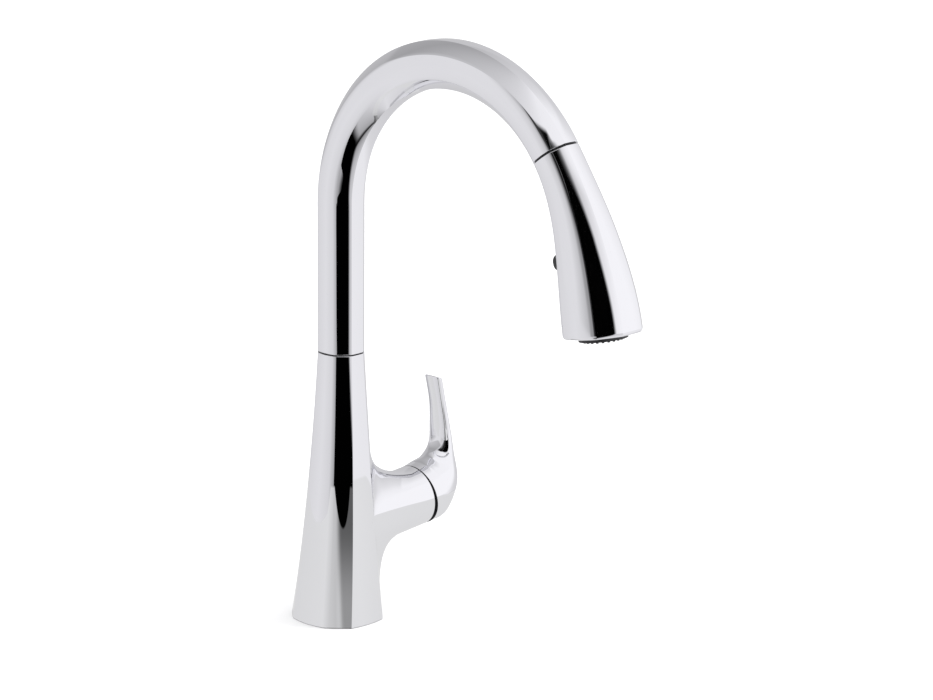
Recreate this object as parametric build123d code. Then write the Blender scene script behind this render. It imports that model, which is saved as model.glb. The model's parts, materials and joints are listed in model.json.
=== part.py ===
"""Pull-down kitchen faucet with a swivelling gooseneck spout, a docked spray head and a side lever.

Millimetres. +Z up. The origin is the centre of the deck face, on the swivel axis of the spout.
The spout reaches towards -Y and the lever is on the +X side.
"""
from build123d import *
from math import cos, radians, sin, sqrt
import os

# ---------------------------------------------------------------- driving dimensions
TOTAL_HEIGHT = 405.0

# The soft octagon that the body, the spout and the head share, at the tube's own size.
# Angles are measured from the front (and back) faces to the corners.
TUBE_CRISP_ANGLE = 19.0
TUBE_SOFT_ANGLE = 60.0
TUBE_CRISP_RADIUS = 16.3
TUBE_SOFT_RADIUS = 15.8
TUBE_FRONT = 15.7
TUBE_SIDE = 15.0
TUBE_FACET = 15.35
TUBE_HALF = 15.3

# What the same octagon gains by the time it reaches the deck.
BASE_CRISP_ANGLE_GAIN = 7.8
BASE_CRISP_GAIN = 15.7
BASE_SOFT_GAIN = 14.9
BASE_FRONT_GAIN = 14.65
BASE_SIDE_GAIN = 14.0
BASE_FACET_GAIN = 14.95
BASE_SHIFT_BACK = 3.75

# Heights of the fixed body and the swivel joint
GASKET_THICK = 1.2
BODY_TOP = 183.7
SWIVEL_WASHER_THICK = 0.9
SPOUT_BOTTOM = BODY_TOP + SWIVEL_WASHER_THICK

# Gooseneck
ARCH_RADIUS = 105.1
ARCH_START = TOTAL_HEIGHT - ARCH_RADIUS - TUBE_FRONT
JOINT_TURN = 144.7
JOINT_HALF_GAP = 0.35
SPOUT_BORE = 11.5

# Spray head: its centre line is two tangent arcs of equal length
HEAD_LENGTH = 115.9
HEAD_MID_TURN = 160.6
HEAD_END_TURN = 170.0
HEAD_WALL = 2.2
HEAD_FLOOR = 2.5

# Docking parts
DOCK_BORE = 12.4
DOCK_DEPTH = 16.0
DOCK_INNER = 10.7
DOCK_LIP_RADIUS = 14.3
DOCK_LIP = 0.5
DOCK_STEM_RADIUS = 10.4
DOCK_STEM_HOLE = 6.6

# Side boss, cartridge and lever, along an axis that rises slightly away from the body
BOSS_TILT = 5.2
BOSS_Z = 64.0
BOSS_RADIUS = 20.6
BOSS_GAP_AT = 68.7
PIVOT_AT = 56.0
RIM_GAP = 0.35
POCKET_RADIUS = 17.5
LIFT_GAP_ANGLE = 3.2
SEAM_FILLET = 4.0

# Body bores
COLUMN_BORE = 12.6
CAVITY_TOP = 118.0
CAVITY_TOP_RADIUS = 10.6
CAVITY_RADIUS = 21.5
POCKET_START = 8.0
WATERWAY_GAP = 0.1

# Deck fixing
SHANK_RADIUS = 17.0
SHANK_BORE = 14.9
SHANK_BOTTOM = -62.0
FLANGE_RADIUS = 20.2
NUT_BOTTOM = -46.0
NUT_THICK = 12.0
NUT_SCREW_OFFSET = 21.0
SOCKET_RADIUS = 4.0
SOCKET_CIRCLE = 10.2
SOCKET_ANGLE = 75.0
SOCKET_DEPTH = 12.0
WATERWAY_BOTTOM = 40.0
PASSAGE_RADIUS = 1.5
PORT_CIRCLE = 8.0

# Hose
HOSE_RADIUS = 4.5
HOSE_CLEARANCE = 5.6
HOSE_BOTTOM = -70.0

# Spray face and button
FACE_RADIUS = 15.6
FACE_PROUD = 3.0
NOZZLE_PROUD = 0.9
BUTTON_AT = 67.0
BUTTON_WIDTH = 17.2
BUTTON_HEIGHT = 11.0
BUTTON_CORNER = 5.0
BUTTON_PROUD = 3.8
BUTTON_SKIRT = 3.4
BUTTON_GAP = 0.3
BUTTON_EDGE = 2.4
DIVERTER_RADIUS = 2.6
AERATOR_RADIUS = 6.0
NOZZLE_RADIUS = 0.8
NOZZLE_RINGS = ((8.6, 14), (12.4, 22))


def boss_plane(distance):
    """Plane across the boss axis, with local X along the row's Y axis."""
    tilt = radians(BOSS_TILT)
    normal = Vector(cos(tilt), 0, sin(tilt))
    origin = Vector(0, 0, BOSS_Z) + normal * distance
    return Plane(origin=origin, x_dir=(0, 1, 0), z_dir=normal)


def head_point(distance):
    """Centre, turn in degrees and direction of the head's centre line, from the joint."""
    half = HEAD_LENGTH / 2
    first_radius = half / radians(HEAD_MID_TURN - JOINT_TURN)
    second_radius = half / radians(HEAD_END_TURN - HEAD_MID_TURN)
    turn = radians(JOINT_TURN)
    centre = Vector(0, -ARCH_RADIUS * (1 - cos(turn)), ARCH_START + ARCH_RADIUS * sin(turn))
    for start, radius in ((0, first_radius), (half, second_radius)):
        step = min(max(distance - start, 0), half)
        after = turn + step / radius
        centre += Vector(0, radius * (cos(after) - cos(turn)), radius * (sin(after) - sin(turn)))
        turn = after
    return centre, turn, Vector(0, -sin(turn), cos(turn))


def head_plane(distance):
    """Plane across the head's centre line, local Y towards the column side."""
    centre, _, direction = head_point(distance)
    return Plane(origin=centre, x_dir=(1, 0, 0), z_dir=direction)


def head_half_width(distance):
    """Half width of the head shell: the tube's own at the joint, flaring to the outlet."""
    t = distance / HEAD_LENGTH
    return TUBE_HALF - 0.8 * t + 30.8 * t**2 - 20.3 * t**3


def octagon(plane, crisp, soft, front, side, facet, crisp_angle, soft_angle=TUBE_SOFT_ANGLE):
    """Soft octagon face: eight gently convex arcs between four crisp and four soft corners."""
    corners = []
    crowns = []
    facet_angle = (crisp_angle + soft_angle) / 2
    for quarter in range(4):
        order = (crisp_angle, soft_angle) if quarter % 2 == 0 else (90 - soft_angle, 90 - crisp_angle)
        radii = (crisp, soft) if quarter % 2 == 0 else (soft, crisp)
        middle = facet_angle if quarter % 2 == 0 else 90 - facet_angle
        start = 90 * quarter
        for angle, radius in zip(order, radii):
            corners.append(polar(radius, start + angle))
        crowns.append(polar(facet, start + middle))
        crowns.append(polar(side if quarter % 2 == 0 else front, start + 90))
    arcs = []
    for index, crown in enumerate(crowns):
        first = plane.from_local_coords(corners[index])
        last = plane.from_local_coords(corners[(index + 1) % len(corners)])
        arcs.append(Edge.make_three_point_arc(first, plane.from_local_coords(crown), last))
    return Face(Wire(arcs))


def polar(radius, angle):
    """Local point at an angle from the local Y axis, counted anticlockwise."""
    return Vector(-radius * sin(radians(angle)), radius * cos(radians(angle)), 0)


def smooth_stations(stations, steps):
    """Rows of numbers between given rows, on a smooth curve through them."""
    rows = []
    last = len(stations) - 1
    for index in range(last):
        before = stations[max(index - 1, 0)]
        after = stations[min(index + 2, last)]
        for step in range(steps):
            t = step / steps
            row = []
            for a, b, c, d in zip(before, stations[index], stations[index + 1], after):
                row.append(b + t * (c - a) / 2 + t**2 * (a - 2.5 * b + 2 * c - d / 2)
                           + t**3 * (1.5 * (b - c) + (d - a) / 2))
            rows.append(tuple(row))
    rows.append(tuple(stations[last]))
    return rows


def tube_section(plane, half_width=TUBE_HALF):
    """The tube's octagon, scaled to a half width."""
    k = half_width / TUBE_HALF
    return octagon(plane, TUBE_CRISP_RADIUS * k, TUBE_SOFT_RADIUS * k, TUBE_FRONT * k, TUBE_SIDE * k,
                   TUBE_FACET * k, TUBE_CRISP_ANGLE)


def body_section(height, inset=0.0):
    """The body's octagon at a height: the tube's at the top, flaring and moving back to the deck."""
    drop = BODY_TOP - height
    flare = (0.0541 * drop + 0.0001506 * drop**2) / 15.0
    shift = BASE_SHIFT_BACK * (drop / BODY_TOP) ** 2
    plane = Plane(origin=(0, shift, height), x_dir=(1, 0, 0), z_dir=(0, 0, 1))
    return octagon(
        plane,
        TUBE_CRISP_RADIUS + BASE_CRISP_GAIN * flare - inset,
        TUBE_SOFT_RADIUS + BASE_SOFT_GAIN * flare - inset,
        TUBE_FRONT + BASE_FRONT_GAIN * flare - inset,
        TUBE_SIDE + BASE_SIDE_GAIN * flare - inset,
        TUBE_FACET + BASE_FACET_GAIN * flare - inset,
        TUBE_CRISP_ANGLE + BASE_CRISP_ANGLE_GAIN * flare,
    )


def rod(plane, radius, start, end):
    """Solid cylinder along a plane's normal, between two distances from the plane."""
    return extrude(plane.offset(start) * Circle(radius), end - start)


def tube(plane, outer, inner, start, end):
    """Hollow cylinder along a plane's normal."""
    return rod(plane, outer, start, end) - rod(plane, inner, start - 1, end + 1)


# ---------------------------------------------------------------- body and its inner parts
def boss_web():
    """Keel under the boss: upright ovals that sweep down into the body in a long hollow curve."""
    stations = (
        # along the axis, middle above the axis, half height, half width
        (12.0, -19.5, 44.0, 12.0),
        (26.0, -11.6, 34.3, 13.0),
        (36.0, -3.8, 26.2, 14.5),
        (46.0, 0.0, 21.9, 17.5),
        (56.0, 0.0, 20.7, 20.2),
        (66.0, 0.0, BOSS_RADIUS - 0.1, BOSS_RADIUS - 0.1),
    )
    sections = []
    for along, rise, half_height, half_width in smooth_stations(stations, 4):
        plane = boss_plane(along)
        plane = Plane(origin=plane.origin + plane.y_dir * rise, x_dir=(0, 1, 0), z_dir=plane.z_dir)
        sections.append(plane * Ellipse(half_width, half_height))
    return loft(sections, ruled=True)


def on_boss_seam(edge):
    """Whether an edge is where the round boss meets the column."""
    for along in (0.1, 0.5, 0.9):
        spot = boss_plane(0).to_local_coords(edge @ along)
        on_boss = abs(sqrt(spot.X**2 + spot.Y**2) - BOSS_RADIUS) < 0.05
        if not on_boss or not 2 < spot.Z < 40:
            return False
    return True


def rim_ball(gap):
    """Ball about the lever's pivot that shapes the rims of the boss and the lever's hub."""
    rim = sqrt((BOSS_GAP_AT - PIVOT_AT) ** 2 + BOSS_RADIUS**2)
    return boss_plane(PIVOT_AT) * Sphere(rim + gap)


def body_shell():
    """Flared chrome body with the side boss, bored for the spout, the waterway and the cartridge."""
    heights = (GASKET_THICK, 40, 80, 115, 150, BODY_TOP)
    column = loft([body_section(height) for height in heights])
    boss = rod(boss_plane(0), BOSS_RADIUS, 0, 80) & (rim_ball(-RIM_GAP) + rod(boss_plane(0), 60, 0, PIVOT_AT))
    solid = column + boss
    seam = [edge for edge in solid.edges() if on_boss_seam(edge)]
    solid = fillet(seam, SEAM_FILLET) + boss_web()
    solid -= rod(Plane.XY, COLUMN_BORE, 0, BODY_TOP + 1)
    solid -= cavity(0) + cartridge_pocket(0)
    solid -= rod(back_screw_plane(), 2.5, 0, 60)
    return solid


def cavity(inset):
    """Conical hollow of the body above the deck."""
    foot = (Align.CENTER, Align.CENTER, Align.MIN)
    return Cone(CAVITY_RADIUS - inset, CAVITY_TOP_RADIUS - inset, CAVITY_TOP, align=foot)


def cartridge_pocket(inset):
    """Round pocket of the boss, from the hollow out to the lever's end."""
    return rod(boss_plane(0), POCKET_RADIUS - inset, POCKET_START, 90)


def back_screw_plane():
    """Radial plane of the screw that keeps the spout down, at the back of the body."""
    return Plane(origin=(0, 0, 166), x_dir=(1, 0, 0), z_dir=(0, 1, 0))


def spout_screw():
    """Grub screw in the back of the body; its tip runs in the sleeve's groove."""
    screw = rod(back_screw_plane(), 2.45, 10.3, 16.4)
    return screw - extrude(back_screw_plane().offset(14.0) * RegularPolygon(1.3, 6), 5)


def socket_place(angle):
    """Centre of a hose socket's top, at an angle about the swivel axis."""
    turn = radians(angle)
    return Vector(SOCKET_CIRCLE * cos(turn), SOCKET_CIRCLE * sin(turn), WATERWAY_BOTTOM + SOCKET_DEPTH)


def waterway():
    """Brass block in the body: seat of the cartridge, with three sockets that open downwards."""
    seat_end = 30.0
    block = rod(Plane.XY, 18.5, WATERWAY_BOTTOM, 66) + rod(boss_plane(0), 18, POCKET_START, seat_end)
    solid = block & (cavity(WATERWAY_GAP) + cartridge_pocket(WATERWAY_GAP))
    solid -= rod(Plane.XY, HOSE_CLEARANCE, 0, CAVITY_TOP)
    for port_angle, socket_angle in ((0, 0), (120, -SOCKET_ANGLE), (240, SOCKET_ANGLE)):
        top = socket_place(socket_angle)
        solid -= rod(Plane(origin=top, z_dir=(0, 0, -1)), SOCKET_RADIUS, 0, SOCKET_DEPTH + 1)
        port = boss_plane(seat_end).from_local_coords(polar(PORT_CIRCLE, port_angle))
        passage = Plane(origin=top, z_dir=port - top)
        solid -= rod(passage, PASSAGE_RADIUS, -1, (port - top).length + 2)
    return solid


def deck_gasket():
    """Flat seal between the body and the deck, just inside the body's outline."""
    seal = extrude(body_section(0, inset=0.5), GASKET_THICK - 0.02)
    return seal - rod(Plane.XY, SHANK_RADIUS + 0.3, -1, GASKET_THICK + 1)


def mounting_shank():
    """Hollow threaded shank that passes through the deck, with a flange inside the body."""
    shank = tube(Plane.XY, SHANK_RADIUS, SHANK_BORE, SHANK_BOTTOM, 12)
    flange = tube(Plane.XY.offset(GASKET_THICK), FLANGE_RADIUS, SHANK_BORE, 0.1, 5)
    return shank + flange


def mounting_nut():
    """Hexagon nut on the shank, with two screw holes."""
    nut = extrude(Plane.XY.offset(NUT_BOTTOM) * RegularPolygon(27, 6), NUT_THICK)
    nut -= rod(Plane.XY, SHANK_RADIUS + 0.05, NUT_BOTTOM - 1, 0)
    for side in (-1, 1):
        nut -= rod(Plane((side * NUT_SCREW_OFFSET, 0, 0)), 2.55, NUT_BOTTOM - 1, 0)
    return nut


def nut_screws():
    """Two screws in the nut that press the steel washer against the deck."""
    screws = []
    for side in (-1, 1):
        plane = Plane((side * NUT_SCREW_OFFSET, 0, 0))
        screw = rod(plane, 2.5, -51, -33.6) + rod(plane, 3.6, -55, -50)
        screws.append(screw - extrude(plane.offset(-56) * Rectangle(9, 1.2), 2.2))
    return Compound(children=[screw.solid() for screw in screws])


def washer(outer, inner, bottom, thick):
    """Flat ring washer about the swivel axis."""
    return tube(Plane.XY, outer, inner, bottom, bottom + thick)


# ---------------------------------------------------------------- cartridge
def cartridge_housing():
    """Cup of the ceramic cartridge, with ports in its floor."""
    cup = rod(boss_plane(0), 17.3, 31.5, 60) - rod(boss_plane(0), 14.6, 34.5, 61)
    for angle in (0, 120, 240):
        port = boss_plane(0) * Pos(polar(8, angle)) * Circle(3)
        cup -= extrude(port, 40)
    return cup


def fixed_disc():
    """Lower ceramic disc, with three ports."""
    disc = rod(boss_plane(0), 14.4, 34.55, 38)
    for angle in (0, 120, 240):
        disc -= extrude(boss_plane(0) * Pos(polar(8, angle)) * Circle(2.6), 45)
    return disc


def cartridge_seal():
    """Rubber seal between the cartridge and the waterway, with three ports."""
    seal = rod(boss_plane(0), 15.5, 30.05, 31.45)
    for angle in (0, 120, 240):
        seal -= extrude(boss_plane(0) * Pos(polar(8, angle)) * Circle(3.2), 45)
    return seal


def cartridge_rotor():
    """Carrier that turns in the cartridge and holds the stem's pin; its slot lets the stem rock."""
    carrier = rod(boss_plane(0), 14.3, 41.7, 59.6)
    carrier -= extrude(boss_plane(44.5) * Rectangle(8.8, 17.5), 20)
    plane = Plane(origin=boss_plane(PIVOT_AT).origin, x_dir=(1, 0, 0), z_dir=(0, 1, 0))
    return carrier - extrude(plane * Circle(1.5), 30, both=True)


def stem_pin():
    """Cross pin in the rotor on which the stem rocks."""
    plane = Plane(origin=boss_plane(PIVOT_AT).origin, x_dir=(1, 0, 0), z_dir=(0, 1, 0))
    return extrude(plane * Circle(1.48), 13, both=True)


def cartridge_stem():
    """Square stem from the rotor to the lever's socket, bored for its pin."""
    stem = extrude(boss_plane(47) * Rectangle(8, 8), 43)
    plane = Plane(origin=boss_plane(PIVOT_AT).origin, x_dir=(1, 0, 0), z_dir=(0, 1, 0))
    return stem - extrude(plane * Circle(1.55), 13, both=True)


def bonnet_nut():
    """Ring nut, screwed into the boss, that holds the cartridge down."""
    return tube(boss_plane(0), POCKET_RADIUS - 0.05, 12.5, 60.05, 66.0)


def bonnet_cap():
    """Domed cover over the nut, seen in the gap behind the lever's hub."""
    cover = rod(boss_plane(0), 17.3, 66.1, 78) & rim_ball(-1.9)
    return cover - rod(boss_plane(0), 12.4, 60, 90) - rod(boss_plane(0), 14.5, 66, 70)


# ---------------------------------------------------------------- lever
def lever_solid():
    """Hub and lever in one sweep: a circle at the boss that turns up and flattens into a paddle."""
    stations = (
        # middle x, middle z, direction in degrees above +X, half thickness, half width
        (66.0, 69.95, BOSS_TILT, 20.6, 20.6),
        (74.0, 71.0, 9.0, 20.7, 20.7),
        (81.3, 73.0, 20.0, 20.7, 20.5),
        (90.0, 83.5, 45.0, 15.6, 17.4),
        (93.4, 97.0, 72.0, 8.2, 11.6),
        (94.1, 107.8, 88.0, 5.4, 9.5),
        (93.2, 118.4, 96.0, 4.1, 8.3),
        (90.9, 133.7, 101.0, 3.5, 7.0),
        (86.6, 153.0, 103.0, 3.3, 7.1),
    )
    sections = []
    for x, z, direction, thick, width in smooth_stations(stations, 4):
        angle = radians(direction)
        plane = Plane(origin=(x, 0, z), x_dir=(0, 1, 0), z_dir=(cos(angle), 0, sin(angle)))
        sections.append(plane * Ellipse(width, thick))
    return loft(sections, ruled=True)


def handle():
    """Lever handle: hollow round the pivot, with a square socket and a hole for its grub screw."""
    solid = lever_solid() - rim_ball(RIM_GAP)
    pivot_rim = boss_plane(BOSS_GAP_AT + RIM_GAP)
    solid -= rod(boss_plane(0), 40, 40, BOSS_GAP_AT + RIM_GAP)
    wedge_turn = radians(BOSS_TILT - LIFT_GAP_ANGLE)
    hinge = pivot_rim.origin + pivot_rim.y_dir * BOSS_RADIUS
    wedge = Plane(origin=hinge, x_dir=(0, 1, 0), z_dir=(cos(wedge_turn), 0, sin(wedge_turn)))
    solid -= extrude(wedge * Rectangle(120, 200), -40)
    tip = Plane(origin=(86.6, 0, 150.4), x_dir=(0, 1, 0), z_dir=(0.32, 0, 1))
    solid -= extrude(tip * Rectangle(60, 60), 20)
    solid -= extrude(boss_plane(70) * Rectangle(8.1, 8.1), 20.1)
    solid -= rod(lever_screw_plane(), 2.5, 4.0, 40)
    return solid


def lever_screw_plane():
    """Plane of the grub screw: from the stem straight down out of the hub."""
    plane = boss_plane(85.5)
    return Plane(origin=plane.origin, x_dir=(0, 1, 0), z_dir=-plane.y_dir)


def lever_screw():
    """Grub screw that clamps the lever to the stem, with a hexagon socket."""
    screw = rod(lever_screw_plane(), 2.45, 4.1, 11)
    return screw - extrude(lever_screw_plane().offset(8.5) * RegularPolygon(1.3, 6), 5)


def lever_plug():
    """Small plug that covers the grub screw's hole."""
    return rod(lever_screw_plane(), 2.45, 13.5, 17.4)


# ---------------------------------------------------------------- spout
def arch_plane(turn):
    """Plane across the gooseneck at a turn in degrees."""
    angle = radians(turn)
    centre = (0, -ARCH_RADIUS * (1 - cos(angle)), ARCH_START + ARCH_RADIUS * sin(angle))
    return Plane(origin=centre, x_dir=(1, 0, 0), z_dir=(0, -sin(angle), cos(angle)))


def gooseneck(section, start, turn):
    """A section swept up the column and round the arch to a turn in degrees."""
    foot = (0, 0, ARCH_START)
    column = Edge.make_line((0, 0, start), foot)
    arch = Edge.make_three_point_arc(foot, arch_plane(turn / 2).origin, arch_plane(turn).origin)
    return sweep(section(Plane.XY.offset(start)), path=Wire([column, arch]))


def spout_tube():
    """Gooseneck tube, with a straight bore at its end for the docking collar."""
    turn = JOINT_TURN - JOINT_HALF_GAP
    outside = gooseneck(tube_section, SPOUT_BOTTOM, turn)
    bore = gooseneck(lambda plane: plane * Circle(SPOUT_BORE), SPOUT_BOTTOM - 1, turn)
    dock = rod(arch_plane(turn), DOCK_BORE, -DOCK_DEPTH, 1)
    return outside - bore - dock


def docking_collar():
    """Collar in the spout's end that the head's stem slides into; its lip shows as a dark line."""
    plane = arch_plane(JOINT_TURN - JOINT_HALF_GAP)
    lip = rod(plane, DOCK_LIP_RADIUS, 0, DOCK_LIP)
    return rod(plane, DOCK_BORE - 0.05, -DOCK_DEPTH + 0.5, 0.1) + lip - rod(plane, DOCK_INNER, -20, 2)


def swivel_sleeve():
    """Sleeve fixed in the spout that turns in the body, with a groove for the retaining screw."""
    sleeve = rod(Plane.XY, 11.0, 148, SPOUT_BOTTOM) + rod(Plane.XY, SPOUT_BORE - 0.05, SPOUT_BOTTOM, 214)
    sleeve -= rod(Plane.XY, 9.0, 140, 220)
    return sleeve - tube(Plane.XY, 12.0, 10.0, 163.2, 168.8)


def glide_ring(bottom):
    """Plastic ring between the body's bore and the sleeve."""
    return tube(Plane.XY, COLUMN_BORE - 0.05, 11.05, bottom, bottom + 6)


# ---------------------------------------------------------------- hose
def hose_path():
    """From the head's nut, round the gooseneck and straight down the column through the shank."""
    joint = arch_plane(JOINT_TURN)
    arch_foot = (0, 0, ARCH_START)
    entry = Edge.make_line(joint.origin + joint.z_dir * 1.5, joint.origin)
    arch = Edge.make_three_point_arc(joint.origin, arch_plane(JOINT_TURN / 2).origin, arch_foot)
    drop = Edge.make_line(arch_foot, (0, 0, HOSE_BOTTOM))
    return Wire([entry, arch, drop])


def spray_hose():
    """Braided hose as a plain round rod along its whole held route."""
    path = hose_path()
    start = Plane(origin=path @ 0, z_dir=path % 0)
    return sweep(start * Circle(HOSE_RADIUS), path=path)


def hose_coupling():
    """Quick-connect fitting on the lower end of the hose, below the shank."""
    plane = Plane.XY.offset(HOSE_BOTTOM)
    fitting = rod(plane, 5.4, -26, -0.05) + rod(plane, 6.1, -19, -13)
    return fitting - rod(plane, 2.8, -27, 0)


def hose_nut():
    """Ball nut on the upper end of the hose, inside the head's stem."""
    plane = arch_plane(JOINT_TURN)
    nut = rod(plane, 6.3, -9, 10) - rod(plane, HOSE_RADIUS + 0.6, -10, 1.6)
    return nut - rod(plane, 2.6, 1, 11)


# ---------------------------------------------------------------- spray head
def head_loft(inset, start, end):
    """Octagon loft along the head's centre line, set in from the outer skin."""
    count = 6
    sections = []
    for index in range(count):
        distance = start + (end - start) * index / (count - 1)
        sections.append(tube_section(head_plane(distance), head_half_width(distance) - inset))
    return loft(sections)


def head_shell():
    """Chrome head shell: hollow, with a floor that holds the spray face and a hole for the button."""
    start = ARCH_RADIUS * radians(JOINT_HALF_GAP)
    shell = head_loft(0, start, HEAD_LENGTH)
    shell = fillet(shell.faces().sort_by(Axis(head_point(0)[0], head_point(HEAD_LENGTH)[2]))[-1].edges(), 1.6)
    shell -= head_loft(HEAD_WALL, start + 2.0, HEAD_LENGTH - HEAD_FLOOR)
    shell -= rod(head_plane(0), DOCK_STEM_RADIUS + 0.05, -2, 6)
    shell -= rod(head_plane(HEAD_LENGTH), FACE_RADIUS + 0.1, -6, 4)
    return shell - extrude(button_outline(BUTTON_GAP, 8), 32)


def dock_stem():
    """Plastic stem of the head that slides into the docking collar."""
    plane = head_plane(0)
    stem = rod(plane, DOCK_STEM_RADIUS, -13.5, 12)
    return stem - rod(plane, DOCK_STEM_HOLE, -14, 13)


def head_core():
    """Waterway inside the head, from the stem to the spray plate, with a seat for the diverter."""
    stations = ((13.2, 8.8), (30, 8.8), (52, 9.6), (76, 12.0), (96, 17.0), (104, 18.6))
    core = loft([head_plane(along) * Circle(radius) for along, radius in stations])
    passage = loft([head_plane(along) * Circle(3.5) for along in (12.6, 30, 52.6)])
    return core - passage - rod(button_plane(), DIVERTER_RADIUS + 0.3, -6, 30)


def check_valve():
    """Check valve at the head's inlet."""
    return rod(head_plane(0), 6.2, 10.1, 11.8) - rod(head_plane(0), 1.6, 9, 14)


def spray_plate():
    """Plate behind the spray face that feeds the nozzles and the aerator."""
    plane = head_plane(HEAD_LENGTH)
    plate = rod(plane, 18.2, -11.0, -6.6) + rod(plane, 15.0, -6.7, -2.6)
    return plate - rod(plane, AERATOR_RADIUS + 0.2, -9, 0)


def spray_face():
    """Black face of the head, with holes for the nozzles and the aerator."""
    plane = head_plane(HEAD_LENGTH)
    face = rod(plane, FACE_RADIUS, -2.5, FACE_PROUD)
    face -= rod(plane, AERATOR_RADIUS + 0.05, -3, 3)
    for x, y in nozzle_places():
        face -= extrude(plane.offset(-3) * Pos(x, y) * Circle(NOZZLE_RADIUS + 0.05), 6)
    return face


def nozzle_places():
    """Centres of the nozzles: two rings about the aerator."""
    places = []
    for ring_radius, count in NOZZLE_RINGS:
        for index in range(count):
            spot = polar(ring_radius, 360 * index / count)
            places.append((spot.X, spot.Y))
    return places


def spray_nozzles():
    """Rubber nozzles that stand proud of the face."""
    plane = head_plane(HEAD_LENGTH)
    nozzles = []
    for x, y in nozzle_places():
        nozzle = extrude(plane.offset(-2.5) * Pos(x, y) * Circle(NOZZLE_RADIUS), 2.5 + FACE_PROUD + NOZZLE_PROUD)
        nozzles.append(nozzle.solid())
    return Compound(children=nozzles)


def aerator():
    """Aerator insert in the middle of the face."""
    plane = head_plane(HEAD_LENGTH)
    insert = rod(plane, AERATOR_RADIUS, -8.5, FACE_PROUD - 0.3)
    return insert - rod(plane, AERATOR_RADIUS - 1.2, -1.0, 5)


def aerator_mesh():
    """Disc of crossed bars in the aerator's mouth."""
    plane = head_plane(HEAD_LENGTH)
    disc = rod(plane, AERATOR_RADIUS - 1.25, -0.95, 0.2)
    for row in range(-2, 3):
        for column in range(-2, 3):
            disc -= extrude(plane.offset(-2) * Pos(1.9 * row, 1.9 * column) * Rectangle(1.3, 1.3), 4)
    return disc


# ---------------------------------------------------------------- button
def button_plane():
    """Plane of the button on the side of the head that faces the column, its normal outwards."""
    plane = head_plane(BUTTON_AT)
    return Plane(origin=plane.origin, x_dir=plane.x_dir, z_dir=Vector(0, -plane.z_dir.Z, plane.z_dir.Y))


def button_rest():
    """Distance from the head's centre line to the outside of the shell at the button."""
    return head_half_width(BUTTON_AT) * TUBE_FRONT / TUBE_HALF


def button_outline(margin, distance):
    """Rounded outline of the button, widened by a margin, at a distance from the head's centre line."""
    wide = BUTTON_WIDTH + 2 * margin
    high = BUTTON_HEIGHT + 2 * margin
    return button_plane().offset(distance) * RectangleRounded(wide, high, BUTTON_CORNER + margin)


def button():
    """Push button with a rounded top edge, its skirt inside the shell."""
    pad = extrude(button_outline(0, button_rest() - BUTTON_SKIRT), BUTTON_SKIRT + BUTTON_PROUD)
    outward = Axis(button_plane().origin, button_plane().z_dir)
    return fillet(pad.faces().sort_by(outward)[-1].edges(), BUTTON_EDGE)


def diverter():
    """Spool behind the button; pressing it changes the spray."""
    rest = button_rest()
    return rod(button_plane(), DIVERTER_RADIUS, 0.5, rest - BUTTON_SKIRT - 0.05)


def button_spring():
    """Coil spring round the spool, drawn at its pressed length."""
    start = 12.6
    pitch = 1.1
    path = Helix(pitch=pitch, height=1.9, radius=DIVERTER_RADIUS + 1.2)
    path = button_plane().offset(start) * path
    profile = Plane(origin=path @ 0, z_dir=path % 0) * Circle(0.35)
    return sweep(profile, path=path, is_frenet=True)


# ---------------------------------------------------------------- write every piece
def pieces():
    """Every separate piece, by node name."""
    lip_ring = SHANK_RADIUS + 0.3
    return {
        "body_shell": body_shell(),
        "deck_gasket": deck_gasket(),
        "mounting_shank": mounting_shank(),
        "deck_washer_rubber": washer(27.0, lip_ring, -31.0, 3.0),
        "deck_washer_steel": washer(26.0, lip_ring, -33.5, 2.45),
        "mounting_nut": mounting_nut(),
        "nut_screws": nut_screws(),
        "waterway": waterway(),
        "cartridge_seal": cartridge_seal(),
        "cartridge_housing": cartridge_housing(),
        "ceramic_disc_fixed": fixed_disc(),
        "ceramic_disc_moving": rod(boss_plane(0), 12.5, 38.05, 41.5),
        "cartridge_rotor": cartridge_rotor(),
        "stem_pin": stem_pin(),
        "cartridge_stem": cartridge_stem(),
        "bonnet_nut": bonnet_nut(),
        "bonnet_cap": bonnet_cap(),
        "handle": handle(),
        "handle_screw": lever_screw(),
        "handle_plug": lever_plug(),
        "swivel_washer": tube(Plane.XY, 15.0, 12.0, BODY_TOP + 0.05, SPOUT_BOTTOM - 0.05),
        "glide_ring_lower": glide_ring(151.0),
        "glide_ring_upper": glide_ring(175.0),
        "spout_screw": spout_screw(),
        "swivel_sleeve": swivel_sleeve(),
        "spout_tube": spout_tube(),
        "docking_collar": docking_collar(),
        "spray_hose": spray_hose(),
        "hose_nut": hose_nut(),
        "hose_coupling": hose_coupling(),
        "head_shell": head_shell(),
        "dock_stem": dock_stem(),
        "check_valve": check_valve(),
        "head_core": head_core(),
        "spray_plate": spray_plate(),
        "spray_face": spray_face(),
        "spray_nozzles": spray_nozzles(),
        "aerator": aerator(),
        "aerator_mesh": aerator_mesh(),
        "button": button(),
        "diverter": diverter(),
        "button_spring": button_spring(),
    }


def main():
    """Build and write every piece."""
    os.makedirs("parts", exist_ok=True)
    for node, shape in pieces().items():
        export_step(shape, f"parts/{node}.step")
    path = hose_path()
    print("hose length", round(path.length, 1))


main()
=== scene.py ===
"""Looks of the pull-down kitchen faucet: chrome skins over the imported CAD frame, studio and camera."""
import json
import math

import bpy
import numpy as np
from mathutils import Matrix, Vector


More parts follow.
